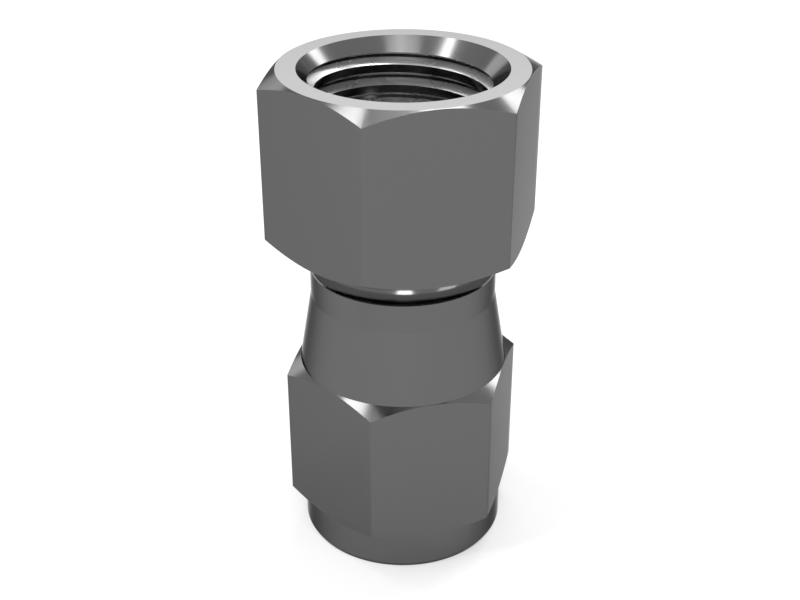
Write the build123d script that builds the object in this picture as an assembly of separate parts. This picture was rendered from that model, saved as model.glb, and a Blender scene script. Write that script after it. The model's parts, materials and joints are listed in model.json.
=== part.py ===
"""Straight adapter for 1/4 inch flared tube: a swivel nut held on a turned body by a wire ring.

All lengths are in millimetres. The adapter stands on its pipe end, with the origin at the centre
of that face and +Z along the flow axis. Both hexagons have a corner on +X and a flat on +Y.
"""

from build123d import *
import math
import os

# Body, from the pipe end upwards.
body_hex_wall = 1.985  # from the port's bore to the flats, which makes the hexagon 1/2 in
turned_under_flats = 0.03  # radial step from the hexagon's flats to the turned surfaces beside them
hex_chamfer_angle = 30.0  # slope of the hexagon's corner chamfers, from the end face
base_length = 2.32
base_edge_height = 0.22
base_edge_width = 0.11
body_hex_length = 9.52
cone_length = 4.46
band_diameter = 11.14
band_length = 1.74
tail_diameter = 9.50  # the shank that the nut turns on
tail_edge = 0.15

# Passage through the body.
port_bore_diameter = 8.73  # tap drill of a 1/8-27 pipe thread
port_mouth_chamfer = 0.885  # its width and its depth
port_depth = 10.0
drill_point_angle = 118.0
flow_diameter = 4.40
seat_half_angle = 37.0
seat_rim_width = 0.25

# Swivel nut, from its rear face upwards.
nut_hex_wall = 1.5875  # from the thread's major diameter to the flats, for a 9/16 in hexagon
neck_gap = 1.87  # from the band's end face to the nut's rear face
nut_length = 10.27
rear_wall = 2.60
rear_edge = 0.20
relief_length = 1.70
relief_depth = 0.10  # beyond the thread's major radius
thread_major_diameter = 11.1125  # 7/16 in
thread_depth = 0.53975  # leaves the largest tapping hole of a 7/16-20 UNF class 2B thread
mouth_margin = 0.40675  # of the countersink, beyond the thread's major radius
mouth_slope = 45.0
swivel_clearance = 0.07  # radial, between tail and rear bore
seat_below_thread = 0.20  # from the nut's last thread down to the tail's rim

# Wire ring between nut and tail.
wire_diameter = 1.20
wire_height = 1.30  # its centre, above the nut's rear face
wire_flats = 12  # the hidden wire's round section, drawn with flats to keep the ring light
wire_gap_angle = 12.0
nut_groove_clearance = 0.02
tail_groove_clearance = 0.06
entry_clearance = 0.10

blank_allowance = 1.05  # the round blanks before the bar's flats, as a share of the corner radius


def tan(degrees):
    """The tangent of an angle in degrees."""
    return math.tan(math.radians(degrees))


# Heights and radii that follow from the driving dimensions.
body_hex_top = base_length + body_hex_length
cone_top = body_hex_top + cone_length
band_top = cone_top + band_length
nut_bottom = band_top + neck_gap
nut_top = nut_bottom + nut_length
thread_bottom = nut_bottom + rear_wall + relief_length
tail_top = thread_bottom - seat_below_thread
wire_level = nut_bottom + wire_height

body_hex_af = port_bore_diameter + 2 * body_hex_wall  # across flats
turned_radius = body_hex_af / 2 - turned_under_flats
band_radius = band_diameter / 2
tail_radius = tail_diameter / 2
cove_radius = band_radius - tail_radius
flow_radius = flow_diameter / 2
port_radius = port_bore_diameter / 2
port_mouth_radius = port_radius + port_mouth_chamfer
seat_mouth_radius = tail_radius - seat_rim_width
seat_depth = (seat_mouth_radius - flow_radius) / tan(seat_half_angle)
drill_point_depth = (port_radius - flow_radius) / tan(drill_point_angle / 2)

major_radius = thread_major_diameter / 2
minor_radius = major_radius - thread_depth
nut_hex_af = 2 * (major_radius + nut_hex_wall)  # across flats
nut_face_radius = nut_hex_af / 2 - turned_under_flats
relief_radius = major_radius + relief_depth
relief_runout = relief_radius - minor_radius  # a 45 degree exit into the thread
mouth_radius = major_radius + mouth_margin
mouth_depth = (mouth_radius - minor_radius) / tan(mouth_slope)
rear_bore_radius = tail_radius + swivel_clearance

wire_radius = wire_diameter / 2
ring_radius = tail_radius + swivel_clearance / 2


def at(radius, height):
    """A point of a half section, on the +X side."""
    return (radius, 0, height)


def turned(section):
    """The solid that a closed half section sweeps about the axis."""
    return revolve(make_face(section), axis=Axis.Z)


def hexagon(across_flats, length):
    """A hexagonal bar from the ground plane, with a corner on +X."""
    return extrude(RegularPolygon(across_flats / 2, 6, major_radius=False), length)


def blank_radius(across_flats):
    """A radius clear outside the hexagon's corners, for the blank that is cut to the bar."""
    return across_flats / math.sqrt(3) * blank_allowance


def chamfer_rise(across_flats, face_radius):
    """Height of a hexagon's corner chamfer, from its end face to the blank's radius."""
    return (blank_radius(across_flats) - face_radius) * tan(hex_chamfer_angle)


def ring_groove(clearance):
    """The square groove of the wire, with a clearance on every side of it."""
    width = wire_diameter + 2 * clearance
    section = Plane.XZ * Pos(ring_radius, wire_level) * Rectangle(width, width)
    return revolve(section, axis=Axis.Z)


def make_body():
    """One turned piece: pipe end, hexagon, cone, band, coved neck and tail with the flare seat."""
    blank = blank_radius(body_hex_af)
    rise = chamfer_rise(body_hex_af, turned_radius)
    outside = Polyline(
        at(port_mouth_radius, 0),
        at(turned_radius - base_edge_width, 0),
        at(turned_radius, base_edge_height),
        at(turned_radius, base_length),
        at(blank, base_length + rise),
        at(blank, body_hex_top - rise),
        at(turned_radius, body_hex_top),
        at(band_radius, cone_top),
        at(band_radius, band_top),
    )
    cove = TangentArc(at(band_radius, band_top), at(tail_radius, band_top + cove_radius), tangent=(-1, 0, 0))
    tail = Polyline(
        at(tail_radius, band_top + cove_radius),
        at(tail_radius, tail_top - tail_edge),
        at(tail_radius - tail_edge, tail_top),
        at(seat_mouth_radius, tail_top),
        at(flow_radius, tail_top - seat_depth),
    )
    passage = Polyline(
        at(flow_radius, tail_top - seat_depth),
        at(flow_radius, port_depth + drill_point_depth),
        at(port_radius, port_depth),
        at(port_radius, port_mouth_chamfer),
        at(port_mouth_radius, 0),
    )
    blank_body = turned(outside + cove + tail + passage)
    return (blank_body & hexagon(body_hex_af, tail_top)) - ring_groove(tail_groove_clearance)


def wire_entry():
    """The slanting hole in the nut's rear flat through which the wire is fed into its groove."""
    flat_centre = nut_hex_af / 2
    turn = math.degrees(math.acos(ring_radius / flat_centre))
    meets = Vector(0, ring_radius, wire_level).rotate(Axis.Z, -turn)
    outside = Vector(0, flat_centre, wire_level)
    inwards = (meets - outside).normalized()
    start = outside - inwards * wire_diameter
    hole = Circle(wire_radius + entry_clearance)
    return extrude(Plane(origin=start, z_dir=inwards) * hole, (meets - start).length)


def make_nut():
    """The hexagonal swivel nut, bored to the minor diameter of its thread."""
    blank = blank_radius(nut_hex_af)
    rise = chamfer_rise(nut_hex_af, nut_face_radius)
    section = Polyline(
        at(rear_bore_radius + rear_edge, nut_bottom),
        at(nut_face_radius, nut_bottom),
        at(blank, nut_bottom + rise),
        at(blank, nut_top - rise),
        at(nut_face_radius, nut_top),
        at(mouth_radius, nut_top),
        at(minor_radius, nut_top - mouth_depth),
        at(minor_radius, thread_bottom),
        at(relief_radius, thread_bottom - relief_runout),
        at(relief_radius, nut_bottom + rear_wall),
        at(rear_bore_radius, nut_bottom + rear_wall),
        at(rear_bore_radius, nut_bottom + rear_edge),
        close=True,
    )
    blank_nut = turned(section) & hexagon(nut_hex_af, nut_top)
    return blank_nut - ring_groove(nut_groove_clearance) - wire_entry()


def make_wire():
    """The wire ring, open by a small gap just behind the entry hole."""
    across_flats = RegularPolygon(wire_radius, wire_flats, major_radius=False, rotation=180 / wire_flats)
    section = Plane.XZ * Pos(ring_radius, wire_level) * across_flats
    ring = revolve(section, axis=Axis.Z, revolution_arc=360 - wire_gap_angle)
    entry_angle = 90 - math.degrees(math.acos(2 * ring_radius / nut_hex_af))
    return Rot(Z=entry_angle + wire_gap_angle) * ring


parts = {
    "adapter_body": make_body(),
    "swivel_nut": make_nut(),
    "retaining_wire": make_wire(),
}

os.makedirs("parts", exist_ok=True)
for name, solid in parts.items():
    solid.label = name
    export_step(solid, f"parts/{name}.step")
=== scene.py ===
import json
import logging
import math
from dataclasses import dataclass
from enum import Enum
from typing import Any, Callable

import bpy
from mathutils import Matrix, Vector

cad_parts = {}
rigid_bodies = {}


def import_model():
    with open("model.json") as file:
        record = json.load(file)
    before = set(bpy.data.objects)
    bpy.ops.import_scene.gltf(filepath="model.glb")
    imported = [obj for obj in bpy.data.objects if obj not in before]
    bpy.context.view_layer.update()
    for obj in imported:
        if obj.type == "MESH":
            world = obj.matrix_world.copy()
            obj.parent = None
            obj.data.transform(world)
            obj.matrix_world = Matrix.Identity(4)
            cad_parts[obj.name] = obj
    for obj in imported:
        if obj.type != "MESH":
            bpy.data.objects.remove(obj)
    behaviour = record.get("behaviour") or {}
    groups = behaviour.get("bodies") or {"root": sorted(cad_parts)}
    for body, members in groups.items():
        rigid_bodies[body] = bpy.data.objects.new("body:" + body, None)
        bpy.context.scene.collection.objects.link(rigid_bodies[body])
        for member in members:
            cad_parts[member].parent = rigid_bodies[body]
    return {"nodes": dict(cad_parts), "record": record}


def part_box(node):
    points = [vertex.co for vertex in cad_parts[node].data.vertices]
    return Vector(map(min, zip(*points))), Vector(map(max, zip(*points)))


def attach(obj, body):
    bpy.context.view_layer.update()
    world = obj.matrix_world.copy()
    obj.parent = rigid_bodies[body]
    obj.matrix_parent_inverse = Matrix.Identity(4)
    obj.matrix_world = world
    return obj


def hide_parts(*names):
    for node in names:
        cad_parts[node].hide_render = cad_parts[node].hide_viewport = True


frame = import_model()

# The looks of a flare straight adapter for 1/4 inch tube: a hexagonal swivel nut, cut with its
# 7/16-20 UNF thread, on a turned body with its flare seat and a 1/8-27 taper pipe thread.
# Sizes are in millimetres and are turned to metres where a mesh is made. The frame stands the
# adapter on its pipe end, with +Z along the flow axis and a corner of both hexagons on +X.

logging.basicConfig(level=logging.INFO, format="%(message)s")
log = logging.getLogger("adapter")

MM = 0.001
AROUND = 240  # facets of a turned surface, and steps in one turn of a thread
DRILL_AROUND = 48  # facets of the wire's entry hole
SHARP = math.radians(8)  # the gentlest edge that still shows as one, that of cone and band
MERGE = 0.0005 * MM  # points nearer than this are one
PAST = 0.5  # millimetres that a cutter goes on beyond an end face
SPARE = 1.0  # millimetres that a bar or drill goes on beyond the piece
EDGE_STEPS = 5  # of a bar's rounded long edge
FLANK_ANGLE = 30.0  # of a thread, from the square across its axis

# How a face is told from its normal and place.
LEVEL = 0.99  # least upward or downward share of an end face's normal
UPRIGHT = 0.01  # greatest such share of a wall's normal
COUNTERSINK = (0.65, 0.75)  # upward share of the countersink's normal
FLAT_SLACK = 0.005  # millimetres that a flat's face may lie inside the flat

RADIUS_SHARE = 0.62  # of the radius in the turning rings, so that end faces have them too
DIE_LINE_STRETCH = 60  # how much longer than wide a die line is

Point = tuple[float, float]  # (radius, height) of a turned profile


class Joinery(Enum):
    """What a tool leaves of the piece that it meets."""

    CUT = "DIFFERENCE"
    KEEP = "INTERSECT"


class Surface(Enum):
    """The ways in which the adapter's surfaces were made, in the order of a piece's slots. The
    tapped and faced slots hold paler copies of the steel: a painted highlight on the thread's
    flanks and a painted sheen on the level faces.
    """

    TURNED = 0
    DRAWN = 1
    TAPPED = 2
    FACED = 3


def deselect_all() -> None:
    """Leave edit mode, with nothing selected."""
    if bpy.context.object and bpy.context.object.mode != "OBJECT":
        bpy.ops.object.mode_set(mode="OBJECT")
    bpy.ops.object.select_all(action="DESELECT")


def take(name: str) -> bpy.types.Object:
    """Name the primitive that was just added.

    Args:
        name: the new name of the object and its mesh.

    Returns:
        The object.
    """
    piece = bpy.context.object
    piece.name = piece.data.name = name
    return piece


def settle(piece: bpy.types.Object) -> None:
    """Put a piece's place into its mesh, so that its object is at the origin, unturned."""
    deselect_all()
    piece.select_set(True)
    bpy.context.view_layer.objects.active = piece
    bpy.ops.object.transform_apply(location=True, rotation=True, scale=True)


def select_where(piece: bpy.types.Object, kind: str, test: Callable[[Any], bool]) -> None:
    """Enter edit mode with only the elements of one kind that pass a test selected.

    Args:
        piece: the piece, which is the active object.
        kind: VERT, EDGE or FACE.
        test: tells of a mesh element whether it is wanted.
    """
    bpy.ops.object.mode_set(mode="EDIT")
    bpy.ops.mesh.select_mode(type=kind)
    bpy.ops.mesh.select_all(action="DESELECT")
    bpy.ops.object.mode_set(mode="OBJECT")
    mesh = piece.data
    for element in {"VERT": mesh.vertices, "EDGE": mesh.edges, "FACE": mesh.polygons}[kind]:
        element.select = test(element)
    bpy.ops.object.mode_set(mode="EDIT")


def apply_last(piece: bpy.types.Object) -> None:
    """Apply the modifier that was added to a piece last."""
    bpy.context.view_layer.objects.active = piece
    bpy.ops.object.modifier_apply(modifier=piece.modifiers[-1].name)


def turned(name: str, profile: list[Point]) -> bpy.types.Object:
    """Grow a solid of revolution from its lowest face, by one extrusion for each step.

    Args:
        name: the piece's name.
        profile: its (radius, height) points from the bottom upwards, in millimetres.

    Returns:
        The closed solid.
    """
    deselect_all()
    radius, height = profile[0]
    bpy.ops.mesh.primitive_circle_add(
        vertices=AROUND, radius=radius * MM, fill_type="NGON", location=(0, 0, height * MM)
    )
    piece = take(name)
    settle(piece)
    bpy.ops.object.mode_set(mode="EDIT")
    bpy.ops.mesh.select_all(action="SELECT")
    for next_radius, next_height in profile[1:]:
        rise = (next_height - height) * MM
        share = next_radius / radius
        bpy.ops.mesh.extrude_region_move(TRANSFORM_OT_translate={"value": (0, 0, rise)})
        bpy.ops.transform.resize(value=(share, share, 1), center_override=(0, 0, 0))
        radius, height = next_radius, next_height
    bpy.ops.mesh.select_all(action="SELECT")
    bpy.ops.mesh.normals_make_consistent(inside=False)
    bpy.ops.object.mode_set(mode="OBJECT")
    return piece


def hexagonal_bar(
    name: str, across_flats: float, bottom: float, top: float, edge: float
) -> bpy.types.Object:
    """A drawn hexagonal bar with a corner on +X and its long edges just broken.

    Args:
        name: the piece's name.
        across_flats: its width in millimetres.
        bottom: height of its lower end.
        top: height of its upper end.
        edge: width that is taken off each flat at a long edge.

    Returns:
        The bar.
    """
    deselect_all()
    bpy.ops.mesh.primitive_cylinder_add(
        vertices=6,
        radius=across_flats / math.sqrt(3) * MM,
        depth=(top - bottom) * MM,
        location=(0, 0, (bottom + top) / 2 * MM),
        rotation=(0, 0, math.radians(30)),
    )
    bar = take(name)
    settle(bar)
    points = bar.data.vertices

    def runs_along(line: bpy.types.MeshEdge) -> bool:
        """Whether an edge is one of the bar's long ones."""
        low, high = (points[index].co.z for index in line.vertices)
        return abs(high - low) > MM

    select_where(bar, "EDGE", runs_along)
    bpy.ops.mesh.bevel(offset=edge * MM, offset_type="OFFSET", segments=EDGE_STEPS, affect="EDGES")
    bpy.ops.object.mode_set(mode="OBJECT")
    return bar


def combine(piece: bpy.types.Object, tool: bpy.types.Object, joinery: Joinery) -> None:
    """Cut a tool out of a piece, or keep only what both share, and put the tool away.

    Args:
        piece: the piece that is worked.
        tool: the solid that meets it.
        joinery: what is left.
    """
    deselect_all()
    modifier = piece.modifiers.new("fit", "BOOLEAN")
    modifier.operation = joinery.value
    modifier.object = tool
    modifier.solver = "EXACT"
    apply_last(piece)
    bpy.data.objects.remove(tool, do_unlink=True)


def finish_mesh(piece: bpy.types.Object) -> None:
    """Merge what coincides, turn the normals outwards and shade the turned surfaces smooth."""
    deselect_all()
    piece.select_set(True)
    bpy.context.view_layer.objects.active = piece
    bpy.ops.object.mode_set(mode="EDIT")
    bpy.ops.mesh.select_all(action="SELECT")
    bpy.ops.mesh.remove_doubles(threshold=MERGE)
    bpy.ops.mesh.normals_make_consistent(inside=False)
    bpy.ops.object.mode_set(mode="OBJECT")
    bpy.ops.object.shade_smooth_by_angle(angle=SHARP)


@dataclass(frozen=True)
class InnerThread:
    """A right-hand inner thread with 60 degree flanks, cut as one groove. Sizes in millimetres."""

    pitch: float
    inner_radius: float  # of the groove's section, just inside the bore
    outer_radius: float
    root_flat: float
    start: float  # height of the section at start_angle
    start_angle: float  # degrees about +Z from +X
    turns: int
    taper: float = 0.0  # change of diameter along the axis

    def cutter(self, name: str) -> bpy.types.Object:
        """Sweep the groove's section up the helix.

        Args:
            name: the cutter's name.

        Returns:
            The closed cutter.
        """
        depth = self.outer_radius - self.inner_radius
        mouth = self.root_flat + 2 * depth * math.tan(math.radians(FLANK_ANGLE))
        deselect_all()
        bpy.ops.mesh.primitive_plane_add(size=1, rotation=(math.pi / 2, 0, 0))
        cutter = take(name)
        settle(cutter)
        select_where(cutter, "VERT", lambda vertex: vertex.co.x > 0)
        bpy.ops.transform.resize(value=(1, 1, self.root_flat / mouth), center_override=(0, 0, 0))
        bpy.ops.mesh.select_all(action="SELECT")
        bpy.ops.transform.resize(value=(depth * MM, 1, mouth * MM), center_override=(0, 0, 0))
        reach = (self.inner_radius + self.outer_radius) / 2
        bpy.ops.transform.translate(value=(reach * MM, 0, self.start * MM))
        bpy.ops.object.mode_set(mode="OBJECT")

        screw = cutter.modifiers.new("helix", "SCREW")
        screw.axis = "Z"
        screw.angle = 2 * math.pi
        screw.screw_offset = self.pitch * MM
        screw.iterations = self.turns
        screw.steps = screw.render_steps = AROUND
        screw.use_merge_vertices = False
        apply_last(cutter)

        bpy.ops.object.mode_set(mode="EDIT")
        bpy.ops.mesh.select_all(action="SELECT")
        bpy.ops.mesh.remove_doubles(threshold=MERGE)
        bpy.ops.mesh.select_all(action="DESELECT")
        bpy.ops.mesh.select_non_manifold()
        bpy.ops.mesh.fill_holes(sides=4)
        bpy.ops.mesh.select_all(action="SELECT")
        bpy.ops.mesh.normals_make_consistent(inside=False)
        bpy.ops.object.mode_set(mode="OBJECT")

        if self.taper:
            heights = [vertex.co.z for vertex in cutter.data.vertices]
            pull = cutter.modifiers.new("taper", "SIMPLE_DEFORM")
            pull.deform_method = "TAPER"
            pull.deform_axis = "Z"
            pull.factor = self.taper / (2 * reach * MM) * (max(heights) - min(heights))
            apply_last(cutter)
        cutter.rotation_euler.z = math.radians(self.start_angle)
        settle(cutter)
        return cutter


def linear(colour: str) -> tuple[float, float, float, float]:
    """Turn an sRGB hex colour to linear values.

    Args:
        colour: six hex digits.

    Returns:
        Red, green, blue and an alpha of 1.
    """
    shares = (int(colour[index:index + 2], 16) / 255 for index in (0, 2, 4))
    return (*(s / 12.92 if s <= 0.04045 else ((s + 0.055) / 1.055) ** 2.4 for s in shares), 1.0)


def add_node(
    tree: bpy.types.NodeTree, kind: str, settings: dict | None = None, links: dict | None = None
) -> bpy.types.Node:
    """Add a node with its settings and links.

    Args:
        tree: the node tree.
        kind: the node's type.
        settings: values by property name, or by input socket name or number.
        links: output sockets by the input that each feeds.

    Returns:
        The node.
    """
    node = tree.nodes.new(kind)
    for key, value in (settings or {}).items():
        if isinstance(key, str) and hasattr(node, key):
            setattr(node, key, value)
        else:
            node.inputs[key].default_value = value
    for key, source in (links or {}).items():
        tree.links.new(source, node.inputs[key])
    return node


@dataclass(frozen=True)
class Steel:
    """A machined stainless steel surface with the fine lines that its making left."""

    name: str
    colour: str
    roughness: float
    spread: float  # how far the roughness wanders from place to place
    line_spacing: float  # millimetres
    line_depth: float  # millimetres
    turned: bool  # lines run round the axis, and otherwise along it
    edge_tint: float  # share of the glancing reflection that is kept
    patch: float = 1.6  # millimetres across the places where the roughness wanders

    def material(self) -> bpy.types.Material:
        """Build the material.

        Returns:
            The new material.
        """
        material = bpy.data.materials.new(self.name)
        material.use_nodes = True
        tree = material.node_tree
        tree.nodes.clear()
        place = add_node(tree, "ShaderNodeTexCoord").outputs["Object"]
        lines = self.turning_lines(tree, place) if self.turned else self.drawing_lines(tree, place)
        mottle = add_node(
            tree,
            "ShaderNodeTexNoise",
            {"Scale": 1 / (self.patch * MM), "Detail": 3.0},
            {"Vector": place},
        )
        rough = add_node(
            tree,
            "ShaderNodeMapRange",
            {"To Min": self.roughness - self.spread, "To Max": self.roughness + self.spread},
            {"Value": mottle.outputs[0]},
        )
        bump = add_node(
            tree,
            "ShaderNodeBump",
            {"Strength": 1.0, "Distance": self.line_depth * MM},
            {"Height": lines},
        )
        shader = add_node(
            tree,
            "ShaderNodeBsdfPrincipled",
            {
                "Base Color": linear(self.colour),
                "Metallic": 1.0,
                "Specular Tint": (self.edge_tint, self.edge_tint, self.edge_tint, 1.0),
            },
            {"Roughness": rough.outputs[0], "Normal": bump.outputs[0]},
        )
        add_node(tree, "ShaderNodeOutputMaterial", links={"Surface": shader.outputs[0]})
        return material

    def turning_lines(
        self, tree: bpy.types.NodeTree, place: bpy.types.NodeSocket
    ) -> bpy.types.NodeSocket:
        """Uneven rings about the axis, on walls and end faces alike.

        Args:
            tree: the material's node tree.
            place: the surface point.

        Returns:
            The height of the lines, from 0 to 1.
        """
        flat = add_node(
            tree, "ShaderNodeVectorMath", {"operation": "MULTIPLY", 1: (1, 1, 0)}, {0: place}
        )
        radius = add_node(
            tree, "ShaderNodeVectorMath", {"operation": "LENGTH"}, {0: flat.outputs[0]}
        )
        axes = add_node(tree, "ShaderNodeSeparateXYZ", links={0: place})
        along = add_node(
            tree,
            "ShaderNodeMath",
            {"operation": "MULTIPLY_ADD", 1: RADIUS_SHARE},
            {0: radius.outputs["Value"], 2: axes.outputs["Z"]},
        )
        lines = add_node(
            tree,
            "ShaderNodeTexNoise",
            {"noise_dimensions": "1D", "Scale": 1 / (self.line_spacing * MM), "Detail": 2.0},
            {"W": along.outputs[0]},
        )
        return lines.outputs[0]

    def drawing_lines(
        self, tree: bpy.types.NodeTree, place: bpy.types.NodeSocket
    ) -> bpy.types.NodeSocket:
        """Long faint lines that the drawing die left along the bar.

        Args:
            tree: the material's node tree.
            place: the surface point.

        Returns:
            The height of the lines, from 0 to 1.
        """
        stretched = add_node(
            tree, "ShaderNodeMapping", {"Scale": (1, 1, 1 / DIE_LINE_STRETCH)}, {"Vector": place}
        )
        lines = add_node(
            tree,
            "ShaderNodeTexNoise",
            {"Scale": 1 / (self.line_spacing * MM), "Detail": 2.0},
            {"Vector": stretched.outputs[0]},
        )
        return lines.outputs[0]


# Stainless steel, turned on a lathe with a fine feed: nearly a mirror, softened by its rings.
# These rings and the die lines are drawn coarser than real, so that the render shows them.
TURNED_STEEL = Steel("stainless steel, fine turned", "606060", 0.15, 0.02, 0.24, 0.0002, True, 0.36)
# Stainless steel bar, cold drawn: smooth along its length, with faint die lines.
DRAWN_STEEL = Steel(
    "stainless steel, cold drawn hexagon bar", "606060", 0.16, 0.02, 0.30, 0.0002, False, 0.36
)
# Stainless steel cut by a tap, with the tap's scoring round the axis. Its far paler colour is a
# painted highlight that makes the thread's flanks bright.
# A pale copy of the steel: painted highlight on the thread's flanks.
TAPPED_STEEL_PAINTED_HIGHLIGHT = Steel("stainless steel, tapped, painted highlight", "DCDCDC", 0.28, 0.04, 0.12, 0.0003, True, 0.7)
# Stainless steel, faced off across the bar, with rings about the bore. Its paler colour is a
# painted sheen on the level faces: it lightens the top faces, and the nut's underside that the neck
# reflects.
# A pale copy of the steel: painted sheen on the level end faces.
FACED_STEEL_PAINTED_SHEEN = Steel("stainless steel, faced, painted sheen", "BCBCBC", 0.18, 0.03, 0.20, 0.0002, True, 0.7)
# Hard drawn spring wire: brighter than the bar.
WIRE_STEEL = Steel("spring steel, hard drawn wire", "808080", 0.22, 0.02, 0.20, 0.0003, True, 0.5)


@dataclass
class SwivelNut:
    """The hexagonal nut, from its rear face upwards. Sizes in millimetres."""

    bottom: float
    top: float
    across_flats: float
    minor_radius: float
    long_edge: float = 0.03  # taken off each flat at the bar's corners
    under_flats: float = 0.03  # from the flats in to the chamfers' rims
    chamfer_angle: float = 30.0
    blank_radius: float = 8.66
    rear_bore_radius: float = 4.82
    rear_edge: float = 0.20
    rear_wall: float = 2.60
    relief_length: float = 1.70
    relief_radius: float = 5.65625
    mouth_radius: float = 5.963
    major_radius: float = 5.55625
    pitch: float = 1.27
    root_flat: float = 0.159
    thread_phase: float = 23.06  # height of the groove at -X
    wire_height: float = 1.30
    thread_start_angle: float = 180.0
    thread_turns: int = 6
    thread_overlap: float = 0.12  # of the thread's cutter, inwards of the bore
    tapped_height: float = 3.5  # above the rear face, where the thread's pale finish with its painted highlight starts
    tapped_margin: float = 0.3  # beyond the thread's major radius
    groove_half_width: float = 0.62
    ring_radius: float = 4.785
    entry_radius: float = 0.70

    def build(self) -> bpy.types.Object:
        """Model the nut: bar, chamfers, stepped bore, thread and the wire's entry.

        Returns:
            The nut.
        """
        nut = turned("nut", self.outside())
        bar = hexagonal_bar(
            "bar", self.across_flats, self.bottom - SPARE, self.top + SPARE, self.long_edge
        )
        combine(nut, bar, Joinery.KEEP)
        combine(nut, turned("bore", self.bore()), Joinery.CUT)
        combine(nut, self.thread().cutter("thread"), Joinery.CUT)
        combine(nut, self.wire_entry(), Joinery.CUT)
        finish_mesh(nut)
        return nut

    def outside(self) -> list[Point]:
        """The blank's profile, with the chamfers of both ends."""
        rim = self.across_flats / 2 - self.under_flats
        rise = (self.blank_radius - rim) * math.tan(math.radians(self.chamfer_angle))
        return [
            (rim, self.bottom),
            (self.blank_radius, self.bottom + rise),
            (self.blank_radius, self.top - rise),
            (rim, self.top),
        ]

    def bore(self) -> list[Point]:
        """The profile of the stepped bore, a little past both faces."""
        shoulder = self.bottom + self.rear_wall
        thread_bottom = shoulder + self.relief_length
        wire = self.bottom + self.wire_height
        groove_radius = self.ring_radius + self.groove_half_width
        return [
            (self.rear_bore_radius + self.rear_edge + PAST, self.bottom - PAST),
            (self.rear_bore_radius, self.bottom + self.rear_edge),
            (self.rear_bore_radius, wire - self.groove_half_width),
            (groove_radius, wire - self.groove_half_width),
            (groove_radius, wire + self.groove_half_width),
            (self.rear_bore_radius, wire + self.groove_half_width),
            (self.rear_bore_radius, shoulder),
            (self.relief_radius, shoulder),
            (self.relief_radius, thread_bottom - (self.relief_radius - self.minor_radius)),
            (self.minor_radius, thread_bottom),
            (self.minor_radius, self.top - (self.mouth_radius - self.minor_radius)),
            (self.mouth_radius + PAST, self.top + PAST),
        ]

    def thread(self) -> InnerThread:
        """The 7/16-20 UNF thread, from the relief up through the mouth."""
        return InnerThread(
            pitch=self.pitch,
            inner_radius=self.minor_radius - self.thread_overlap,
            outer_radius=self.major_radius,
            root_flat=self.root_flat,
            start=self.thread_phase,
            start_angle=self.thread_start_angle,
            turns=self.thread_turns,
        )

    def wire_entry(self) -> bpy.types.Object:
        """The slanting hole in the rear flat that the wire is fed through.

        Returns:
            The drill's shape.
        """
        flat = self.across_flats / 2
        turn = math.acos(self.ring_radius / flat)
        level = self.bottom + self.wire_height
        outside = Vector((0, flat, level))
        meets = Vector((math.sin(turn), math.cos(turn), 0)) * self.ring_radius
        meets.z = level
        inwards = (meets - outside).normalized()
        start = outside - inwards * SPARE
        deselect_all()
        bpy.ops.mesh.primitive_cylinder_add(
            vertices=DRILL_AROUND,
            radius=self.entry_radius * MM,
            depth=(meets - start).length * MM,
            location=(start + meets) / 2 * MM,
            rotation=inwards.to_track_quat("Z", "Y").to_euler(),
        )
        drill = take("drill")
        settle(drill)
        return drill

    def dress(self, nut: bpy.types.Object, finishes: list[bpy.types.Material]) -> None:
        """Give the nut its finishes.

        Args:
            nut: the nut that was built.
            finishes: its materials, in the order of Surface.
        """
        bore = self.major_radius + self.tapped_margin
        tapped = (self.bottom + self.tapped_height, self.top)
        give_finishes(nut, finishes, self.across_flats / 2, bore, tapped)


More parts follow.
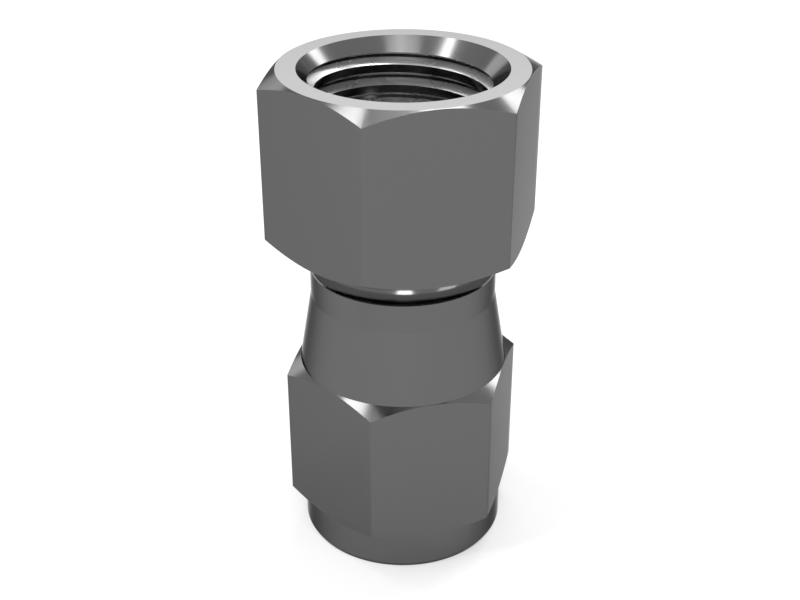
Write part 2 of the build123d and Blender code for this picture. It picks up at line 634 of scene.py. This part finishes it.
@dataclass
class AdapterBody:
    """The turned body, from the pipe end upwards. Sizes in millimetres."""

    across_flats: float
    tail_top: float
    port_radius: float
    long_edge: float = 0.03
    under_flats: float = 0.03
    chamfer_angle: float = 30.0
    blank_radius: float = 7.70
    base_length: float = 2.32
    base_edge_height: float = 0.22
    base_edge_width: float = 0.11
    hexagon_length: float = 9.52
    cone_length: float = 4.46
    band_radius: float = 5.57
    band_length: float = 1.74
    tail_radius: float = 4.75
    tail_edge: float = 0.15
    wire_level: float = 21.21
    ring_radius: float = 4.785
    groove_half_width: float = 0.66
    port_depth: float = 10.0
    port_mouth_radius: float = 5.25
    flow_radius: float = 2.20
    drill_point_angle: float = 118.0
    seat_half_angle: float = 37.0
    seat_rim_width: float = 0.25
    pipe_pitch: float = 0.9407
    pipe_major_radius: float = 5.12  # at the pipe end's face
    pipe_taper: float = -1 / 16
    pipe_root_flat: float = 0.033
    pipe_start: float = -0.62  # height of the groove at +X
    pipe_turns: int = 8
    pipe_overlap: float = 0.02  # of the thread's cutter, inwards of the bore
    tapped_height: float = 8.0  # above the pipe end, where the thread's pale finish with its painted highlight stops
    tapped_margin: float = 0.2  # beyond the thread's major radius
    cove_steps: int = 16

    def build(self) -> bpy.types.Object:
        """Model the body: blank, hexagon, passage and pipe thread.

        Returns:
            The body.
        """
        body = turned("body", self.outside())
        bar = hexagonal_bar(
            "bar", self.across_flats, -SPARE, self.tail_top + SPARE, self.long_edge
        )
        combine(body, bar, Joinery.KEEP)
        combine(body, turned("passage", self.passage()), Joinery.CUT)
        combine(body, self.pipe_thread().cutter("pipe_thread"), Joinery.CUT)
        finish_mesh(body)
        return body

    def outside(self) -> list[Point]:
        """The body's profile, from the pipe end's face to the tail's rim."""
        rim = self.across_flats / 2 - self.under_flats
        rise = (self.blank_radius - rim) * math.tan(math.radians(self.chamfer_angle))
        hexagon_top = self.base_length + self.hexagon_length
        cone_top = hexagon_top + self.cone_length
        band_top = cone_top + self.band_length
        cove = self.band_radius - self.tail_radius
        turns = [math.pi / 2 * step / self.cove_steps for step in range(1, self.cove_steps + 1)]
        quarter = [
            (self.band_radius - cove * math.sin(turn), band_top + cove * (1 - math.cos(turn)))
            for turn in turns
        ]
        groove_radius = self.ring_radius - self.groove_half_width
        return [
            (rim - self.base_edge_width, 0),
            (rim, self.base_edge_height),
            (rim, self.base_length),
            (self.blank_radius, self.base_length + rise),
            (self.blank_radius, hexagon_top - rise),
            (rim, hexagon_top),
            (self.band_radius, cone_top),
            (self.band_radius, band_top),
            *quarter,
            (self.tail_radius, self.wire_level - self.groove_half_width),
            (groove_radius, self.wire_level - self.groove_half_width),
            (groove_radius, self.wire_level + self.groove_half_width),
            (self.tail_radius, self.wire_level + self.groove_half_width),
            (self.tail_radius, self.tail_top - self.tail_edge),
            (self.tail_radius - self.tail_edge, self.tail_top),
        ]

    def passage(self) -> list[Point]:
        """The profile of the flow passage, a little past both ends."""
        seat_slope = math.tan(math.radians(self.seat_half_angle))
        seat_radius = self.tail_radius - self.seat_rim_width
        point_slope = math.tan(math.radians(self.drill_point_angle / 2))
        point_depth = (self.port_radius - self.flow_radius) / point_slope
        return [
            (self.port_mouth_radius + PAST, -PAST),
            (self.port_radius, self.port_mouth_radius - self.port_radius),
            (self.port_radius, self.port_depth),
            (self.flow_radius, self.port_depth + point_depth),
            (self.flow_radius, self.tail_top - (seat_radius - self.flow_radius) / seat_slope),
            (seat_radius + PAST * seat_slope, self.tail_top + PAST),
        ]

    def pipe_thread(self) -> InnerThread:
        """The 1/8-27 taper pipe thread, from below the pipe end inwards."""
        return InnerThread(
            pitch=self.pipe_pitch,
            inner_radius=self.port_radius - self.pipe_overlap,
            outer_radius=self.pipe_major_radius,
            root_flat=self.pipe_root_flat,
            start=self.pipe_start,
            start_angle=0.0,
            turns=self.pipe_turns,
            taper=self.pipe_taper,
        )

    def dress(self, body: bpy.types.Object, finishes: list[bpy.types.Material]) -> None:
        """Give the body its finishes.

        Args:
            body: the body that was built.
            finishes: its materials, in the order of Surface.
        """
        bore = self.pipe_major_radius + self.tapped_margin
        give_finishes(body, finishes, self.across_flats / 2, bore, (0.0, self.tapped_height))


class RetainingWire:
    """The wire ring between nut and body, which keeps the frame's own mesh."""

    def dress(self, wire: bpy.types.Object) -> None:
        """Give the wire its one finish."""
        wire.data.materials.clear()
        wire.data.materials.append(WIRE_STEEL.material())


def surface_of(
    face: bpy.types.MeshPolygon, flat: float, bore: float, threads: tuple[float, float]
) -> Surface:
    """Tell how a face was made, from its place and normal.

    A thread's crests are what the tap left of the bored wall, so they are turned. Only the flanks
    take the pale tapped copy with its painted highlight, and the level faces the pale faced copy
    with its painted sheen.

    Args:
        face: the mesh face.
        flat: distance of the hexagon's flats from the axis, in metres.
        bore: a radius just beyond the threaded bore, in metres.
        threads: lowest and highest height of the thread, in metres.

    Returns:
        The kind of surface.
    """
    outwards = Vector((face.center.x, face.center.y, 0))
    upright = abs(face.normal.z) < UPRIGHT
    # Level faces take the pale faced copy, which paints a sheen on them.
    if abs(face.normal.z) > LEVEL:
        return Surface.FACED
    if upright and face.normal.dot(face.center) > flat - FLAT_SLACK * MM:
        return Surface.DRAWN
    countersunk = COUNTERSINK[0] < face.normal.z < COUNTERSINK[1]
    threaded = outwards.length < bore and threads[0] < face.center.z < threads[1]
    # The thread's flanks take the pale tapped copy, which paints a highlight on them.
    if threaded and not (countersunk or upright):
        return Surface.TAPPED
    return Surface.TURNED


def give_finishes(
    piece: bpy.types.Object,
    finishes: list[bpy.types.Material],
    flat: float,
    bore: float,
    threads: tuple[float, float],
) -> None:
    """Give every face of a piece the finish of the way it was made, with a painted highlight on the
    tapped flanks and a painted sheen on the level faces.

    Args:
        piece: the piece.
        finishes: its materials, in the order of Surface.
        flat: distance of the hexagon's flats from the axis, in millimetres.
        bore: a radius just beyond the threaded bore, in millimetres.
        threads: lowest and highest height of the thread, in millimetres.
    """
    piece.data.materials.clear()
    for finish in finishes:
        piece.data.materials.append(finish)
    heights = (threads[0] * MM, threads[1] * MM)
    for face in piece.data.polygons:
        face.material_index = surface_of(face, flat * MM, bore * MM, heights).value


@dataclass(frozen=True)
class Softbox:
    """A square-on area lamp, placed by where it stands seen from the camera."""

    name: str
    azimuth: float  # degrees, 0 to the camera's right, 90 behind the adapter, 270 at the camera
    elevation: float
    width: float  # degrees that it spans sideways, as the adapter sees it
    height: float  # degrees that it spans upwards
    radiance: float


@dataclass
class Studio:
    """A pale floor, a pale room and soft lamps, with the camera at the photograph's angle."""

    camera_place: tuple[float, float, float] = (-17.79, -65.57, 52.28)  # millimetres
    camera_target: tuple[float, float, float] = (-0.174, 0.047, 15.45)
    lens: float = 57.116
    turn: float = -15.03  # degrees from the camera's own frame to the adapter's
    middle: float = 0.020  # metres above the floor, where the lamps point
    distance: float = 0.60  # metres
    nearest: float = 0.005  # metres from the camera, where its view starts
    floor_radius: float = 3.0  # metres
    floor_drop: float = 0.01  # millimetres below the pipe end
    floor_colour: str = "B4B4B4"
    floor_glow: float = 0.28  # added where the floor is seen or reflected
    room_on_matt: float = 0.5  # the room's light on matt surfaces
    room_seen: float = 1.0  # the room where it is seen or reflected
    softboxes: tuple[Softbox, ...] = (
        Softbox("behind", 90, 24, 60, 14, 0.4),
        Softbox("behind left", 122, 22, 20, 16, 2.4),
        Softbox("front strip", 272, 27, 18, 44, 12.0),
        Softbox("front high", 270, 64, 26, 22, 3.0),
        Softbox("front right", 333, 17, 26, 26, 2.6),
        Softbox("high left", 158, 66, 16, 14, 9.0),
        Softbox("left", 197, 52, 18, 20, 12.0),
        Softbox("right behind", 45, 36, 16, 16, 9.0),
        Softbox("overhead", 45, 87, 30, 30, 1.0),
        Softbox("high behind", 62, 71, 26, 14, 10.0),
    )

    def build(self) -> None:
        """Set up floor, room, lamps and camera."""
        self.add_floor()
        self.light_room()
        for softbox in self.softboxes:
            self.add_softbox(softbox)
        self.add_camera()

    def seen(self, tree: bpy.types.NodeTree) -> bpy.types.NodeSocket:
        """1 on rays of the camera and of gloss and glass, and 0 on the rest."""
        path = add_node(tree, "ShaderNodeLightPath")
        seen = path.outputs["Is Camera Ray"]
        for kind in ("Is Glossy Ray", "Is Transmission Ray"):
            seen = add_node(
                tree, "ShaderNodeMath", {"operation": "MAXIMUM"}, {0: seen, 1: path.outputs[kind]}
            ).outputs[0]
        return seen

    def add_floor(self) -> None:
        """A pale matt floor that is near white where it is seen, and keeps the soft shadow."""
        deselect_all()
        bpy.ops.mesh.primitive_circle_add(
            vertices=64,
            radius=self.floor_radius,
            fill_type="NGON",
            location=(0, 0, -self.floor_drop * MM),
        )
        floor = take("floor")
        settle(floor)
        material = bpy.data.materials.new("matt white paint")
        material.use_nodes = True
        tree = material.node_tree
        tree.nodes.clear()
        paint = add_node(tree, "ShaderNodeBsdfDiffuse", {"Color": linear(self.floor_colour)})
        strength = add_node(
            tree,
            "ShaderNodeMath",
            {"operation": "MULTIPLY", 1: self.floor_glow},
            {0: self.seen(tree)},
        )
        glow = add_node(
            tree, "ShaderNodeEmission", {"Color": (1, 1, 1, 1)}, {"Strength": strength.outputs[0]}
        )
        both = add_node(
            tree, "ShaderNodeAddShader", links={0: paint.outputs[0], 1: glow.outputs[0]}
        )
        add_node(tree, "ShaderNodeOutputMaterial", links={"Surface": both.outputs[0]})
        floor.data.materials.append(material)

    def light_room(self) -> None:
        """A pale room all round, plain on matt surfaces and near white in reflections."""
        world = bpy.data.worlds.new("pale room")
        bpy.context.scene.world = world
        world.use_nodes = True
        tree = world.node_tree
        tree.nodes.clear()
        level = add_node(
            tree,
            "ShaderNodeMapRange",
            {"To Min": self.room_on_matt, "To Max": self.room_seen},
            {"Value": self.seen(tree)},
        )
        glow = add_node(
            tree, "ShaderNodeBackground", {"Color": (1, 1, 1, 1)}, {"Strength": level.outputs[0]}
        )
        add_node(tree, "ShaderNodeOutputWorld", links={"Surface": glow.outputs[0]})

    def towards(self, azimuth: float, elevation: float) -> Vector:
        """The direction, in the adapter's frame, of an azimuth and elevation in the camera's."""
        flat, up = math.radians(azimuth + self.turn), math.radians(elevation)
        return Vector((math.cos(flat) * math.cos(up), math.sin(flat) * math.cos(up), math.sin(up)))

    def add_softbox(self, softbox: Softbox) -> None:
        """Hang one area lamp that faces the adapter.

        Args:
            softbox: where it hangs, how large it looks and how bright it is.
        """
        lamp = bpy.data.lights.new(softbox.name, "AREA")
        lamp.shape = "RECTANGLE"
        lamp.size = 2 * self.distance * math.tan(math.radians(softbox.width / 2))
        lamp.size_y = 2 * self.distance * math.tan(math.radians(softbox.height / 2))
        lamp.energy = softbox.radiance * lamp.size * lamp.size_y * math.pi
        holder = bpy.data.objects.new(softbox.name, lamp)
        bpy.context.scene.collection.objects.link(holder)
        outwards = self.towards(softbox.azimuth, softbox.elevation)
        holder.location = outwards * self.distance + Vector((0, 0, self.middle))
        holder.rotation_euler = outwards.to_track_quat("Z", "Y").to_euler()
        holder.visible_camera = False

    def add_camera(self) -> None:
        """Stand the camera at the photograph's angle."""
        camera = bpy.data.cameras.new("camera")
        camera.lens = self.lens
        camera.clip_start = self.nearest
        holder = bpy.data.objects.new("camera", camera)
        bpy.context.scene.collection.objects.link(holder)
        place, target = Vector(self.camera_place) * MM, Vector(self.camera_target) * MM
        holder.location = place
        holder.rotation_euler = (target - place).to_track_quat("-Z", "Y").to_euler()
        bpy.context.scene.camera = holder
        bpy.context.scene.view_settings.view_transform = "Standard"


def main() -> None:
    """Build the pieces in order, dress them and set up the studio."""
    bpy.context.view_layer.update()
    nut_low, nut_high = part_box("swivel_nut")
    body_low, body_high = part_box("adapter_body")
    mounts = {mount["name"]: mount for mount in frame["record"]["mounts"]}

    steels = (TURNED_STEEL, DRAWN_STEEL, TAPPED_STEEL_PAINTED_HIGHLIGHT, FACED_STEEL_PAINTED_SHEEN)
    finishes = [steel.material() for steel in steels]

    nut = SwivelNut(
        bottom=nut_low[2] / MM,
        top=nut_high[2] / MM,
        across_flats=(nut_high[1] - nut_low[1]) / MM,
        minor_radius=mounts["swivel_thread"]["dims"]["r_mm"],
    )
    nut_piece = nut.build()
    nut.dress(nut_piece, finishes)
    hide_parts("swivel_nut")
    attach(nut_piece, "nut")
    log.info("nut: %d faces", len(nut_piece.data.polygons))

    body = AdapterBody(
        across_flats=(body_high[1] - body_low[1]) / MM,
        tail_top=body_high[2] / MM,
        port_radius=mounts["pipe_port"]["dims"]["r_mm"],
    )
    body_piece = body.build()
    body.dress(body_piece, finishes)
    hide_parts("adapter_body")
    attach(body_piece, "body")
    log.info("body: %d faces", len(body_piece.data.polygons))

    RetainingWire().dress(frame["nodes"]["retaining_wire"])
    log.info("retaining wire: dressed")

    Studio().build()


if __name__ == "__main__":
    main()
